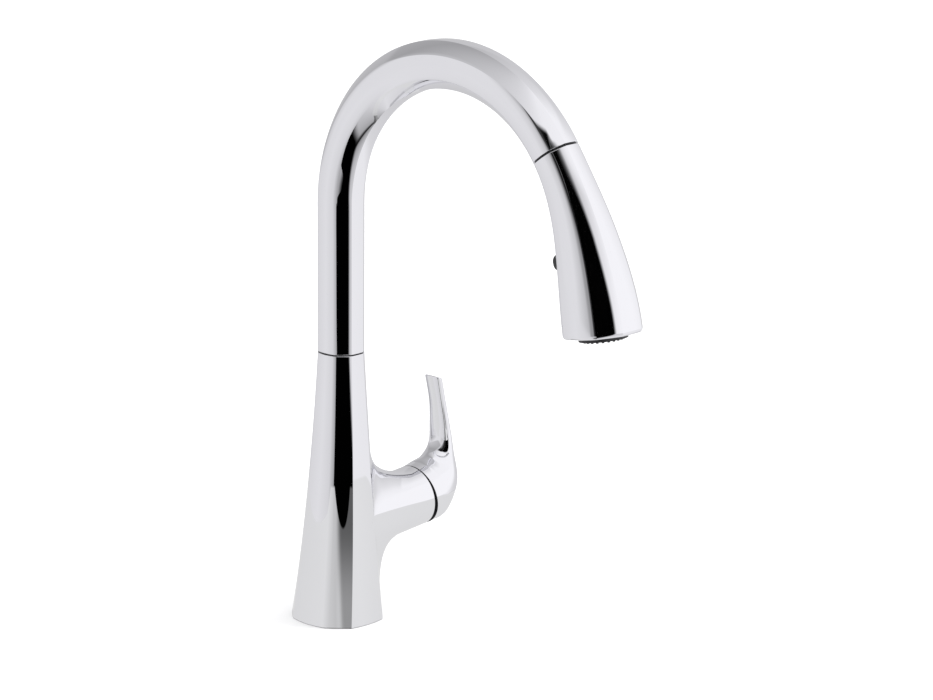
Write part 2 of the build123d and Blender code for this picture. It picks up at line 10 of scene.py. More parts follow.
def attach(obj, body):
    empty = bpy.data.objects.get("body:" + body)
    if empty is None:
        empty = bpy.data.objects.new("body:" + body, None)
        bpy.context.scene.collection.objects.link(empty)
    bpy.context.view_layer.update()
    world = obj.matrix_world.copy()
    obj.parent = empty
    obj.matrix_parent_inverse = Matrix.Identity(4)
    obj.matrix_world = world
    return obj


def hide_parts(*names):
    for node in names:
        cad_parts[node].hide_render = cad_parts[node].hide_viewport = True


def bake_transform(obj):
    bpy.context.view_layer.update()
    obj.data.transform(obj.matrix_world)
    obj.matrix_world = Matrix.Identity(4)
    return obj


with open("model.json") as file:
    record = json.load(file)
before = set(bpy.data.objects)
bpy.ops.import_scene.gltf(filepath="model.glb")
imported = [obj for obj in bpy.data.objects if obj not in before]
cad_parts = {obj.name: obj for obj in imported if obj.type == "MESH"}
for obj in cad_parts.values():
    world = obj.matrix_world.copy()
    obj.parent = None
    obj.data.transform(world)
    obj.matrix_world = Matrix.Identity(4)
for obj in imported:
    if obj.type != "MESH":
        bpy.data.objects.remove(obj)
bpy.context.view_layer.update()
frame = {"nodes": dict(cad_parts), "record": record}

MM = 0.001

# ------------------------------------------------------------------ the faucet's driving sizes, in mm
TOTAL_HEIGHT = 405.0
TUBE = dict(crisp=16.3, soft=15.8, front=15.7, side=15.0, facet=15.35, crisp_angle=19.0)
BASE_GAIN = dict(crisp=15.7, soft=14.9, front=14.65, side=14.0, facet=14.95, crisp_angle=7.8)
SOFT_ANGLE = 60.0
TUBE_HALF = 15.3
BASE_SHIFT_BACK = 3.75
BODY_BOTTOM, BODY_TOP, SPOUT_BOTTOM = 0.25, 183.7, 184.6
BODY_BORE, BODY_BORE_END, CONE_START, CONE_RADIUS = 12.6, 118.0, 96.0, 21.4
ARCH_RADIUS = 105.1
ARCH_START = TOTAL_HEIGHT - ARCH_RADIUS - 15.7
JOINT_TURN, JOINT_HALF_GAP = 144.7, 0.35
SPOUT_BORE, DOCK_BORE, DOCK_DEPTH = 11.5, 12.4, 16.0
HEAD_RIM, FACE_HOLE, FACE_DEPTH, HEAD_STEM_BORE = 2.4, 15.7, 5.5, 10.45
HEAD_LENGTH, HEAD_MID_TURN, HEAD_END_TURN = 115.9, 160.6, 170.0
BOSS_TILT, BOSS_Z, BOSS_RADIUS = 5.2, 64.0, 20.6
BOSS_GAP_AT, PIVOT_AT, RIM_GAP, POCKET_RADIUS = 68.7, 56.0, 0.35, 17.5
POCKET_FLOOR, POCKET_HOLE, BOSS_EDGE = 40.0, 2.0, 0.2
LIFT_GAP_ANGLE = 5.0
LEVER_RIM_HOLE, LEVER_RIM_DEPTH, LEVER_POCKET_AT = 17.6, 6.0, 78.0
LEVER_TIP_X, LEVER_TIP_Z, TIP_ROUND = 86.6, 150.4, 1.2
EDGE = 0.35
EDGE_STEPS = 5


# ------------------------------------------------------------------ the soft octagon
def polar(radius, degrees):
    a = math.radians(degrees)
    return np.array([-radius * math.sin(a), radius * math.cos(a)])


def circle_through(p, q, r):
    """Centre and radius of the circle through three points."""
    a = np.array([q - p, r - p]) * 2
    b = np.array([q @ q - p @ p, r @ r - p @ p])
    centre = np.linalg.solve(a, b)
    return centre, np.linalg.norm(p - centre)


def octagon(sizes, soft_round, crisp_round, face_steps=8, round_steps=5):
    """Outline points and outward normals of the octagon, its corners rounded by true arcs."""
    corners, kinds, crowns = [], [], []
    ca = sizes["crisp_angle"]
    middle = (ca + SOFT_ANGLE) / 2
    for quarter in range(4):
        even = quarter % 2 == 0
        crisp, soft = (ca, "crisp"), (SOFT_ANGLE, "soft")
        pair = (crisp, soft) if even else ((90 - SOFT_ANGLE, "soft"), (90 - ca, "crisp"))
        for angle, kind in pair:
            corners.append(polar(sizes[kind], 90 * quarter + angle))
            kinds.append(kind)
        crowns.append(polar(sizes["facet"], 90 * quarter + (middle if even else 90 - middle)))
        crowns.append(polar(sizes["side" if even else "front"], 90 * quarter + 90))
    arcs = [circle_through(corners[i], crowns[i], corners[(i + 1) % 8]) for i in range(8)]
    rounds = []
    for i in range(8):
        (c1, r1), (c2, r2) = arcs[i - 1], arcs[i]
        r = soft_round if kinds[i] == "soft" else crisp_round
        d = c2 - c1
        length = np.linalg.norm(d)
        a = ((r1 - r) ** 2 - (r2 - r) ** 2 + length**2) / (2 * length)
        h = math.sqrt(max((r1 - r) ** 2 - a * a, 0))
        foot = c1 + d / length * a
        side = np.array([-d[1], d[0]]) / length
        centre = min((foot + side * h, foot - side * h), key=lambda q: np.linalg.norm(q - corners[i]))
        start = (centre - c1) / np.linalg.norm(centre - c1)
        end = (centre - c2) / np.linalg.norm(centre - c2)
        rounds.append((centre, r, start, end))
    points, normals = [], []

    def arc(centre, radius, n0, n1, steps):
        a0 = math.atan2(n0[1], n0[0])
        turn = (math.atan2(n1[1], n1[0]) - a0 + math.pi) % (2 * math.pi) - math.pi
        for k in range(steps):
            a = a0 + turn * k / steps
            n = np.array([math.cos(a), math.sin(a)])
            points.append(centre + n * radius)
            normals.append(n)

    for i in range(8):
        arc(rounds[i][0], rounds[i][1], rounds[i][2], rounds[i][3], round_steps)
        arc(arcs[i][0], arcs[i][1], rounds[i][3], rounds[(i + 1) % 8][2], face_steps)
    return np.array(points), np.array(normals)


def ring(origin, x_dir, y_dir, outline):
    """A flat outline (points, normals) set on a plane: 3-D points and tangents along the outline."""
    points, normals = outline
    p = origin + np.outer(points[:, 0], x_dir) + np.outer(points[:, 1], y_dir)
    t = np.outer(-normals[:, 1], x_dir) + np.outer(normals[:, 0], y_dir)
    return p, t


def circle_like(outline, radius):
    """A circle whose points keep the outline's directions, so that strips join point to point."""
    points, _ = outline
    n = points / np.linalg.norm(points, axis=1)[:, None]
    return n * radius, n


def quarter_turn(reverse=False):
    """Angles of the steps round a small rounded edge."""
    angles = np.linspace(0, math.pi / 2, EDGE_STEPS)
    return angles[::-1] if reverse else angles


# ------------------------------------------------------------------ meshes from strips of rings
def strip(rings):
    """Positions and normals of a strip of rings, the normals square to both directions of its grid."""
    p = np.array([r[0] for r in rings])
    t = np.array([r[1] for r in rings])
    step = np.linalg.norm(np.diff(p, axis=0), axis=2).mean(1)
    s = np.concatenate([[0], np.cumsum(np.maximum(step, 1e-6))])
    v = np.gradient(p, s, axis=0)
    n = np.cross(t, v)
    n /= np.maximum(np.linalg.norm(n, axis=2, keepdims=True), 1e-12)
    return p, n


def build(name, surfaces, mat, body, replaces=()):
    """One object from surfaces; each surface is (strips, closed) with rings shared by neighbours."""
    verts, faces, loops = [], [], []
    for strips, closed in surfaces:
        first = len(verts)
        count = strips[0][0].shape[1]
        row = first
        verts.extend(strips[0][0][0])
        for number, (p, n) in enumerate(strips):
            for j in range(1, len(p)):
                last_row = closed and number == len(strips) - 1 and j == len(p) - 1
                if last_row:
                    after = first
                else:
                    after = len(verts)
                    verts.extend(p[j])
                for i in range(count):
                    k = (i + 1) % count
                    faces.append([row + i, row + k, after + k, after + i])
                    loops.extend([n[j - 1][i], n[j - 1][k], n[j][k], n[j][i]])
                row = after
    mesh = bpy.data.meshes.new(name)
    mesh.from_pydata([tuple(v * MM) for v in verts], [], faces)
    mesh.update()
    mesh.polygons.foreach_set("use_smooth", [True] * len(faces))
    mesh.normals_split_custom_set([tuple(n) for n in loops])
    obj = bpy.data.objects.new(name, mesh)
    bpy.context.scene.collection.objects.link(obj)
    mesh.materials.append(mat)
    if body:
        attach(obj, body)
    if replaces:
        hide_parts(*replaces)
    return obj


# ------------------------------------------------------------------ materials
def material(name, base, metallic, rough, bump=0.0, bump_scale=600.0, rough_spread=0.0, tint=0.0,
             noise_scale=40.0):
    """Principled material with fine procedural variation in colour, roughness and surface."""
    mat = bpy.data.materials.new(name)
    mat.use_nodes = True
    nodes, links = mat.node_tree.nodes, mat.node_tree.links
    shader = nodes["Principled BSDF"]
    shader.inputs["Metallic"].default_value = metallic
    coords = nodes.new("ShaderNodeTexCoord")
    cloud = nodes.new("ShaderNodeTexNoise")
    cloud.inputs["Scale"].default_value = noise_scale
    cloud.inputs["Detail"].default_value = 5.0
    links.new(coords.outputs["Object"], cloud.inputs["Vector"])
    ramp = nodes.new("ShaderNodeMapRange")
    ramp.inputs["From Min"].default_value = 0.3
    ramp.inputs["From Max"].default_value = 0.7
    ramp.inputs["To Min"].default_value = max(rough - rough_spread, 0.0)
    ramp.inputs["To Max"].default_value = rough + rough_spread
    links.new(cloud.outputs["Fac"], ramp.inputs["Value"])
    links.new(ramp.outputs["Result"], shader.inputs["Roughness"])
    mix = nodes.new("ShaderNodeMix")
    mix.data_type = "RGBA"
    mix.inputs[6].default_value = (*base, 1)
    mix.inputs[7].default_value = (*[c * (1 - tint) for c in base], 1)
    links.new(cloud.outputs["Fac"], mix.inputs[0])
    links.new(mix.outputs[2], shader.inputs["Base Color"])
    if bump:
        grain = nodes.new("ShaderNodeTexNoise")
        grain.inputs["Scale"].default_value = bump_scale
        grain.inputs["Detail"].default_value = 3.0
        links.new(coords.outputs["Object"], grain.inputs["Vector"])
        node = nodes.new("ShaderNodeBump")
        node.inputs["Strength"].default_value = bump
        node.inputs["Distance"].default_value = 0.0002
        links.new(grain.outputs["Fac"], node.inputs["Height"])
        links.new(node.outputs["Normal"], shader.inputs["Normal"])
    return mat


MATERIALS = {
    "chrome_body": material("chrome_body", (0.90, 0.90, 0.925), 1.0, 0.022, rough_spread=0.008, tint=0.03,
                            noise_scale=18),
    "chrome_trim": material("chrome_trim", (0.80, 0.80, 0.83), 1.0, 0.06, rough_spread=0.015, tint=0.05),
    "black_plastic": material("black_plastic", (0.018, 0.018, 0.02), 0.0, 0.42, 0.15, 1500, 0.06, 0.3),
    "grey_plastic": material("grey_plastic", (0.36, 0.37, 0.39), 0.0, 0.38, 0.12, 1200, 0.06, 0.12),
    "white_plastic": material("white_plastic", (0.80, 0.80, 0.78), 0.0, 0.3, 0.08, 1200, 0.05, 0.06),
    "brass": material("brass", (0.72, 0.52, 0.25), 1.0, 0.24, 0.1, 900, 0.07, 0.16),
    "steel": material("steel", (0.58, 0.58, 0.59), 1.0, 0.28, 0.12, 900, 0.07, 0.12),
    "seal_rubber": material("seal_rubber", (0.02, 0.02, 0.021), 0.0, 0.62, 0.2, 1800, 0.08, 0.3),
    "nozzle_rubber": material("nozzle_rubber", (0.05, 0.05, 0.055), 0.0, 0.5, 0.12, 2500, 0.08, 0.2),
    "ceramic": material("ceramic", (0.86, 0.85, 0.80), 0.0, 0.22, 0.05, 1500, 0.05, 0.05),
    "hose_braid": material("hose_braid", (0.06, 0.06, 0.065), 0.0, 0.5, 0.3, 2500, 0.08, 0.4),
}
for part in frame["record"]["subparts"]:
    cad = frame["nodes"][part["node"]]
    cad.data.materials.clear()
    cad.data.materials.append(MATERIALS[part["material_slot"]])

X = np.array([1.0, 0, 0])
Y = np.array([0, 1.0, 0])


# ------------------------------------------------------------------ body
def body_sizes(height):
    """Octagon sizes, backward shift and flare of the body at a height: it widens downward."""
    drop = BODY_TOP - height
    flare = (0.0541 * drop + 0.0001506 * drop**2) / 15.0
    sizes = {key: TUBE[key] + BASE_GAIN[key] * flare for key in TUBE}
    shift = BASE_SHIFT_BACK * (drop / BODY_TOP) ** 2
    return sizes, shift, flare


def shrink(sizes, amount):
    return {key: value - amount if key != "crisp_angle" else value for key, value in sizes.items()}


def body_outline(height, inset=0.0, crisp_round=0.45):
    sizes, shift, flare = body_sizes(height)
    outline = octagon(shrink(sizes, inset), 6 + 6 * flare, crisp_round)
    return outline, np.array([0, shift, height])


def body_ring(height, inset=0.0, at=None):
    outline, origin = body_outline(height, inset)
    if at is not None:
        origin = np.array([0, origin[1], at])
    return ring(origin, X, Y, outline)


def body_column():
    """Strips of the column: rounded lower edge, skin, rounded upper edge, bore and hollow foot."""
    outer = [body_ring(h) for h in np.linspace(BODY_BOTTOM + EDGE, BODY_TOP - EDGE, 75)]
    low = [body_ring(BODY_BOTTOM + EDGE, EDGE * (1 - math.cos(a)), BODY_BOTTOM + EDGE * (1 - math.sin(a)))
           for a in quarter_turn(reverse=True)]
    high = [body_ring(BODY_TOP - EDGE, EDGE * (1 - math.cos(a)), BODY_TOP - EDGE + EDGE * math.sin(a))
            for a in quarter_turn()]
    top_outline = body_outline(BODY_TOP)[0]

    def inner(height, radius):
        return ring(np.array([0, 0, height]), X, Y, circle_like(top_outline, radius))

    bore = [inner(BODY_TOP, BODY_BORE), inner(BODY_BORE_END, BODY_BORE), inner(CONE_START, BODY_BORE)]
    foot = inner(BODY_BOTTOM, CONE_RADIUS)
    inside = [high[-1], *bore, foot, low[0]]
    return [strip(low), strip(outer), strip(high), *(strip(pair) for pair in zip(inside, inside[1:]))]


TABLE_TURN = 0.25
BLEND_CORNER = 5.0


def make_table():
    """Polar radii of the column, its corners softened, at every millimetre of height, and its shifts."""
    turns = np.radians(np.arange(0, 360, TABLE_TURN))
    radii, shifts = [], []
    for height in range(math.ceil(BODY_TOP) + 1):
        sizes, shift, flare = body_sizes(max(height, BODY_BOTTOM))
        points, _ = octagon(sizes, 6 + 6 * flare, BLEND_CORNER, 40, 30)
        angles = np.arctan2(points[:, 1], points[:, 0])
        radii.append(np.interp(turns, angles, np.linalg.norm(points, axis=1), period=2 * math.pi))
        shifts.append(shift)
    return np.array(radii), np.array(shifts)


RADII, SHIFTS = make_table()


def column_excess(points):
    """How far points lie outside the column, measured along its radius at their height."""
    height = np.clip(points[:, 2], 0, math.ceil(BODY_TOP) - 0.1)
    low = height.astype(int)
    share = height - low
    shift = SHIFTS[low] * (1 - share) + SHIFTS[low + 1] * share
    x, y = points[:, 0], points[:, 1] - shift
    turn = (np.degrees(np.arctan2(y, x)) % 360) / TABLE_TURN
    first = turn.astype(int) % RADII.shape[1]
    second = (first + 1) % RADII.shape[1]
    part = turn - turn.astype(int)
    lower = RADII[low, first] * (1 - part) + RADII[low, second] * part
    upper = RADII[low + 1, first] * (1 - part) + RADII[low + 1, second] * part
    return np.hypot(x, y) - lower * (1 - share) - upper * share


def boss_frame():
    """The boss's axis, its side and its upward direction."""
    tilt = math.radians(BOSS_TILT)
    axis = np.array([math.cos(tilt), 0, math.sin(tilt)])
    return axis, np.array([0, 1.0, 0]), np.array([-math.sin(tilt), 0, math.cos(tilt)])


def boss_reach(angles):
    """Reach of the boss's blend round it (0 up, 180 down): along the axis, and out from its side."""
    upright = np.cos(np.radians(angles))
    top, bottom = np.maximum(upright, 0), np.maximum(-upright, 0)
    return 16.0 + 26.0 * top**2 + 10.0 * bottom**2, 1.4 + 34.0 * top**6 + 36.0 * bottom**6


def boss_skin():
    """Rows of the boss's blend, from the column's side out to the round boss."""
    axis, side, up = boss_frame()
    centre = np.array([0, 0, BOSS_Z])
    count, steps, halvings = 180, 36, 40
    angles = np.arange(count) * 360 / count
    outs = -np.outer(np.sin(np.radians(angles)), side) + np.outer(np.cos(np.radians(angles)), up)
    reach, rise = boss_reach(angles)
    blend = np.zeros((steps + 1, count, 3))
    for j in range(steps + 1):
        turn = math.pi / 2 * j / steps
        rho = BOSS_RADIUS + rise * (1 - math.sin(turn))
        low, high = np.zeros(count), np.full(count, 90.0)
        for _ in range(halvings):
            mid = (low + high) / 2
            excess = column_excess(centre + np.outer(mid, axis) + outs * rho[:, None])
            inside = excess < reach * (1 - math.cos(turn))
            low, high = np.where(inside, mid, low), np.where(inside, high, mid)
        blend[j] = centre + np.outer(mid, axis) + outs * rho[:, None]
    return blend, angles


def grid_normals(p):
    """Normals of a grid (rows, ring, 3) by differences both ways."""
    across = np.roll(p, -1, 1) - np.roll(p, 1, 1)
    along = np.gradient(p, axis=0)
    n = np.cross(across, along)
    return n / np.maximum(np.linalg.norm(n, axis=2, keepdims=True), 1e-12)


def boss_strips():
    """Strips of the boss in two groups: its chrome outside, and its dark end with the pocket."""
    axis, side, up = boss_frame()
    centre = np.array([0, 0, BOSS_Z])
    blend, angles = boss_skin()
    rim_radius = math.hypot(BOSS_GAP_AT - PIVOT_AT, BOSS_RADIUS) - RIM_GAP
    rim_at = PIVOT_AT + math.sqrt(rim_radius**2 - (BOSS_RADIUS - EDGE) ** 2)
    outs = np.array([side * -math.sin(math.radians(a)) + up * math.cos(math.radians(a)) for a in angles])
    tangents = np.array([side * -math.cos(math.radians(a)) - up * math.sin(math.radians(a)) for a in angles])

    def circle(at, radius):
        return centre + axis * at + outs * radius, tangents

    normals = grid_normals(blend)
    starts = (blend[-1] - centre) @ axis
    rows = []
    for t in np.linspace(0, 1, 12):
        at = starts + (rim_at - BOSS_EDGE - starts) * t
        rows.append((centre + np.outer(at, axis) + outs * BOSS_RADIUS, tangents))
    wall = strip(rows)
    normals[-1] = outs
    edge = [circle(rim_at - BOSS_EDGE + BOSS_EDGE * math.sin(a), BOSS_RADIUS - EDGE * (1 - math.cos(a)))
            for a in np.linspace(0, math.pi / 2, 4)]
    ball = []
    for radius in np.linspace(BOSS_RADIUS - EDGE, POCKET_RADIUS, 5):
        ball.append(circle(PIVOT_AT + math.sqrt(rim_radius**2 - radius**2), radius))
    ball[0] = edge[-1]
    pocket = [ball[-1], circle(POCKET_FLOOR, POCKET_RADIUS)]
    pocket_end = [pocket[-1], circle(POCKET_FLOOR, POCKET_HOLE)]
    return [(blend, normals), wall, strip(edge)], [strip(ball), strip(pocket), strip(pocket_end)]


# ------------------------------------------------------------------ spout
def arch_point(turn):
    """Point of the arch's middle line, turn degrees past its start."""
    a = math.radians(turn)
    return np.array([0, -ARCH_RADIUS * (1 - math.cos(a)), ARCH_START + ARCH_RADIUS * math.sin(a)])


def arch_ring(turn, outline):
    a = math.radians(turn)
    return ring(arch_point(turn), X, np.array([0, math.cos(a), math.sin(a)]), outline)


def tube_outline(half=TUBE_HALF, inset=0.0):
    k = half / TUBE_HALF
    sizes = {key: value * k if key != "crisp_angle" else value for key, value in TUBE.items()}
    return octagon(shrink(sizes, inset), 5.5 * k, 0.4)


def along_arch(distance):
    """Turn in degrees that a distance makes along the arch."""
    return math.degrees(distance / ARCH_RADIUS)


def spout_strips():
    """Strips of the gooseneck: lower edge, skin, upper edge, mouth, docking socket and bore."""
    plain = tube_outline()
    bore = circle_like(plain, SPOUT_BORE)
    dock = circle_like(plain, DOCK_BORE)
    end = JOINT_TURN - JOINT_HALF_GAP
    socket_end = end - along_arch(DOCK_DEPTH)
    low = [ring(np.array([0, 0, SPOUT_BOTTOM + EDGE * (1 - math.sin(a))]), X, Y,
                tube_outline(inset=EDGE * (1 - math.cos(a))))
           for a in quarter_turn(reverse=True)]
    column = [ring(np.array([0, 0, z]), X, Y, plain)
              for z in np.linspace(SPOUT_BOTTOM + EDGE, ARCH_START, 12)]
    arch = [arch_ring(t, plain) for t in np.linspace(0, end - along_arch(EDGE), 110)]
    skin = strip(column + arch[1:])
    high = [arch_ring(end - along_arch(EDGE * (1 - math.sin(a))),
                      tube_outline(inset=EDGE * (1 - math.cos(a))))
            for a in quarter_turn()]
    mouth = [high[-1], arch_ring(end, dock)]
    socket = [mouth[-1], arch_ring(socket_end, dock)]
    shelf = [socket[-1], arch_ring(socket_end, bore)]
    inner = [arch_ring(t, bore) for t in np.linspace(socket_end, 0, 40)]
    inner += [ring(np.array([0, 0, SPOUT_BOTTOM]), X, Y, bore)]
    return [strip(low), skin, strip(high), strip(mouth), strip(socket), strip(shelf), strip(inner),
            strip([inner[-1], low[0]])]


# ------------------------------------------------------------------ spray head
def head_place(distance):
    """Centre, turn and direction of the head's middle line, which bends in two arcs."""
    half = HEAD_LENGTH / 2
    turn = math.radians(JOINT_TURN)
    centre = arch_point(JOINT_TURN)
    for start, radius in ((0, half / math.radians(HEAD_MID_TURN - JOINT_TURN)),
                          (half, half / math.radians(HEAD_END_TURN - HEAD_MID_TURN))):
        step = min(max(distance - start, 0), half)
        after = turn + step / radius
        across = radius * (math.cos(after) - math.cos(turn))
        upward = radius * (math.sin(after) - math.sin(turn))
        centre = centre + np.array([0, across, upward])
        turn = after
    beyond = distance - min(max(distance, 0), HEAD_LENGTH)
    direction = np.array([0, -math.sin(turn), math.cos(turn)])
    return centre + direction * beyond, turn, direction


def head_half(distance):
    """Half width of the head, which flares from the tube's size."""
    t = min(max(distance / HEAD_LENGTH, 0), 1)
    return TUBE_HALF - 0.8 * t + 30.8 * t**2 - 20.3 * t**3


def head_ring(distance, inset=0.0, outline=None, at=None):
    centre, turn, _ = head_place(distance if at is None else at)
    shape = outline or tube_outline(head_half(distance), inset)
    return ring(centre, X, np.array([0, math.cos(turn), math.sin(turn)]), shape)


def head_strips():
    """Strips of the head: upper edge, skin, rounded outlet edge, face well and bore."""
    start = ARCH_RADIUS * math.radians(JOINT_HALF_GAP)
    rim_start, well_end = HEAD_LENGTH - HEAD_RIM, HEAD_LENGTH - FACE_DEPTH
    plain = tube_outline()
    low = [head_ring(start, EDGE * (1 - math.cos(a)), at=start + EDGE * (1 - math.sin(a)))
           for a in quarter_turn(reverse=True)]
    skin = [head_ring(d) for d in np.linspace(start + EDGE, rim_start, 90)]
    high = [head_ring(rim_start, HEAD_RIM * (1 - math.cos(a)) * 0.8, at=rim_start + HEAD_RIM * math.sin(a))
            for a in np.linspace(0, math.pi / 2, 10)]
    hole = circle_like(plain, FACE_HOLE)
    face = [high[-1], head_ring(HEAD_LENGTH, outline=hole)]
    well = [face[-1], head_ring(well_end, outline=hole)]
    stem = circle_like(plain, HEAD_STEM_BORE)
    shelf = [well[-1], head_ring(well_end, outline=stem)]
    inner = [head_ring(d, outline=stem) for d in np.linspace(well_end, start, 20)]
    return [strip(low), strip(skin), strip(high), strip(face), strip(well), strip(shelf), strip(inner),
            strip([inner[-1], low[0]])]


# ------------------------------------------------------------------ handle
STATIONS = (
    # middle x, middle z, direction in degrees above +X, half thickness, half width
    (66.0, 69.95, BOSS_TILT, 20.6, 20.6),
    (74.0, 71.0, 9.0, 20.7, 20.7),
    (81.3, 73.0, 20.0, 20.7, 20.5),
    (90.0, 83.5, 45.0, 15.6, 17.4),
    (93.4, 97.0, 72.0, 8.2, 11.6),
    (94.1, 107.8, 88.0, 5.4, 9.5),
    (93.2, 118.4, 96.0, 4.1, 8.3),
    (90.9, 133.7, 101.0, 3.5, 7.0),
    (86.6, 153.0, 103.0, 3.3, 7.1),
)
STATION_STEPS = 12
# stations, and how square the lever's inner side is there: 2 is an oval
LEVER_SQUARENESS = ((2.0, 2.6, 3.2, 4.0, 4.8, 5.6, 8.0), (2.0, 1.8, 1.5, 1.4, 1.6, 2.4, 2.6))


def smooth(stations, steps):
    """Rows on a smooth curve through the stations, steps of them to each gap."""
    rows = []
    last = len(stations) - 1
    for index in range(last):
        a, b = np.array(stations[max(index - 1, 0)]), np.array(stations[index])
        c, d = np.array(stations[index + 1]), np.array(stations[min(index + 2, last)])
        for step in range(steps):
            t = step / steps
            square, cube = a - 2.5 * b + 2 * c - d / 2, 1.5 * (b - c) + (d - a) / 2
            rows.append(b + t * (c - a) / 2 + t**2 * square + t**3 * cube)
    rows.append(np.array(stations[-1], float))
    return np.array(rows)


def handle_rows():
    """Rings of the lever from inside its hub to past its tip, with the trough on its inner side."""
    rows = smooth(STATIONS, STATION_STEPS)
    count = 96
    phase = np.arange(count) * 2 * math.pi / count
    grid = np.zeros((len(rows), count, 3))
    for j, (x, z, direction, thick, width) in enumerate(rows):
        a = math.radians(direction)
        inner = np.array([-math.sin(a), 0, math.cos(a)])
        progress = j / STATION_STEPS
        power = 2 / np.where(np.cos(phase) > 0, np.interp(progress, *LEVER_SQUARENESS), 2.0)
        u = -np.sign(np.sin(phase)) * np.abs(np.sin(phase)) ** power * width
        v = np.sign(np.cos(phase)) * np.abs(np.cos(phase)) ** power * thick
        depth = np.clip((progress - 3.72) / 1.1, 0, 1) * 0.62 * thick
        trough = thick - depth + 0.55 * depth * (u / (0.74 * width)) ** 2
        v = np.minimum(v, trough)
        grid[j] = np.array([x, 0, z]) + np.outer(u, Y) + np.outer(v, inner)
    return grid


def flat(rows):
    p = np.array(rows)
    return p, grid_normals(p)


def handle_strips():
    """Strips of the lever in two groups: its chrome outside, and its dark rim with the pocket."""
    axis, side, up = boss_frame()
    centre = np.array([0, 0, BOSS_Z])
    grid = handle_rows()
    # the rim lies a little outside a ball about the pivot, and opens towards the bottom
    rim_radius = math.hypot(BOSS_GAP_AT - PIVOT_AT, BOSS_RADIUS) + RIM_GAP
    rim_u = (grid[0] - centre) @ side
    rim_v = (grid[0] - centre) @ up
    open_by = (BOSS_RADIUS - rim_v) * math.tan(math.radians(LIFT_GAP_ANGLE))
    rim_along = PIVOT_AT + math.sqrt(rim_radius**2 - BOSS_RADIUS**2) + open_by
    tip_normal = np.array([0.32, 0, 1.0])
    tip_normal /= np.linalg.norm(tip_normal)
    tip_point = np.array([LEVER_TIP_X, 0, LEVER_TIP_Z])
    kept = []
    for j in range(len(grid)):
        along = (grid[j] - centre) @ axis
        above = (grid[j] - tip_point) @ tip_normal
        if (along > rim_along + 0.6).all() and (above < -TIP_ROUND - 0.3).all():
            kept.append(grid[j])
    rim_out = np.outer(rim_u, side) + np.outer(rim_v, up)
    first = centre + np.outer(rim_along, axis) + rim_out
    direction = kept[-1] - kept[-2]
    direction = direction / np.linalg.norm(direction, axis=1)[:, None]
    reach = ((tip_point - kept[-1]) @ tip_normal) / (direction @ tip_normal)
    last = kept[-1] + direction * reach[:, None]
    mid = last.mean(0)
    body = np.array([first] + kept + [last - direction * TIP_ROUND])
    normals = grid_normals(body)
    rim_in = centre + np.outer(rim_along, axis) + rim_out * (LEVER_RIM_HOLE / BOSS_RADIUS)
    rim_deep = rim_in + axis * LEVER_RIM_DEPTH
    rim_end = centre + axis * LEVER_POCKET_AT + rim_out * 0.1
    inward = (mid - last) / np.linalg.norm(mid - last, axis=1)[:, None]
    edge = [body[-1]]
    for a in quarter_turn()[1:]:
        edge.append(last - direction * TIP_ROUND * (1 - math.sin(a)) + inward * TIP_ROUND * (1 - math.cos(a)))
    # the tip's face is dished by a fraction of a millimetre
    cap = [edge[-1]]
    for share, dish in ((0.6, 0.15), (0.02, 0.3)):
        cap.append(mid + (edge[-1] - mid) * share - tip_normal * dish)
    pocket = [flat([rim_end, rim_deep]), flat([rim_deep, rim_in]), flat([rim_in, first])]
    return [(body, normals), flat(edge), flat(cap)], pocket


CHROME, BLACK = MATERIALS["chrome_body"], MATERIALS["black_plastic"]
boss_outside, boss_end = boss_strips()
lever_outside, lever_rim = handle_strips()
build("body_skin", [(body_column(), True), (boss_outside, False)], CHROME, "fixed_body",
      ("body_shell",))
build("boss_end", [(boss_end, False)], BLACK, "fixed_body")
build("spout_skin", [(spout_strips(), True)], CHROME, "spout", ("spout_tube",))
build("head_skin", [(head_strips(), True)], CHROME, "spray_head", ("head_shell",))
build("lever_skin", [(lever_outside, False)], CHROME, "lever", ("handle",))
build("lever_rim", [(lever_rim, False)], BLACK, "lever")


# ------------------------------------------------------------------ hose
HOSE_RADIUS, HOSE_BOTTOM = 4.5, -70.0
HOSE_SPLIT_TURN, HOSE_BLEND_TURN = 124.0, 126.0
HOSE_BRAID = MATERIALS["hose_braid"]


def hose_rings(points, turns):
    """Round rings of the hose at points of the arch's middle line, each leaning with its turn."""
    outline = np.array([(math.cos(a), math.sin(a)) for a in np.arange(24) * math.pi / 12])
    rings = []
    for point, turn in zip(points, turns):
        a = math.radians(turn)
        y_dir = np.array([0, math.cos(a), math.sin(a)])
        rings.append(ring(point, X, y_dir, (outline * HOSE_RADIUS, outline)))
    return rings


def hose():
    """The hose in two pieces: one that stays in the spout, and its end up to the head, which is attached to
    no body.
    """
    upright = [np.array([0, 0, z]) for z in np.linspace(HOSE_BOTTOM, ARCH_START, 60)]
    round_turns = list(np.linspace(0, HOSE_SPLIT_TURN, 60))[1:]
    still = hose_rings(upright + [arch_point(t) for t in round_turns], [0] * 60 + round_turns)
    build("hose_inside", [([strip(still)], False)], HOSE_BRAID, "spout", ("spray_hose",))
    end_turns = list(np.linspace(HOSE_SPLIT_TURN, JOINT_TURN, 70))
    drawn = hose_rings([arch_point(t) for t in end_turns], end_turns)
    piece = build("hose_end_piece", [([strip(drawn)], False)], HOSE_BRAID, None)
    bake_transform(piece)


hose()


# ------------------------------------------------------------------ studio
def linear(level):
    """Light that shows as a grey level from 0 to 255 in polished chrome."""
    return ((level / 255 + 0.055) / 1.055) ** 2.4 / 0.92


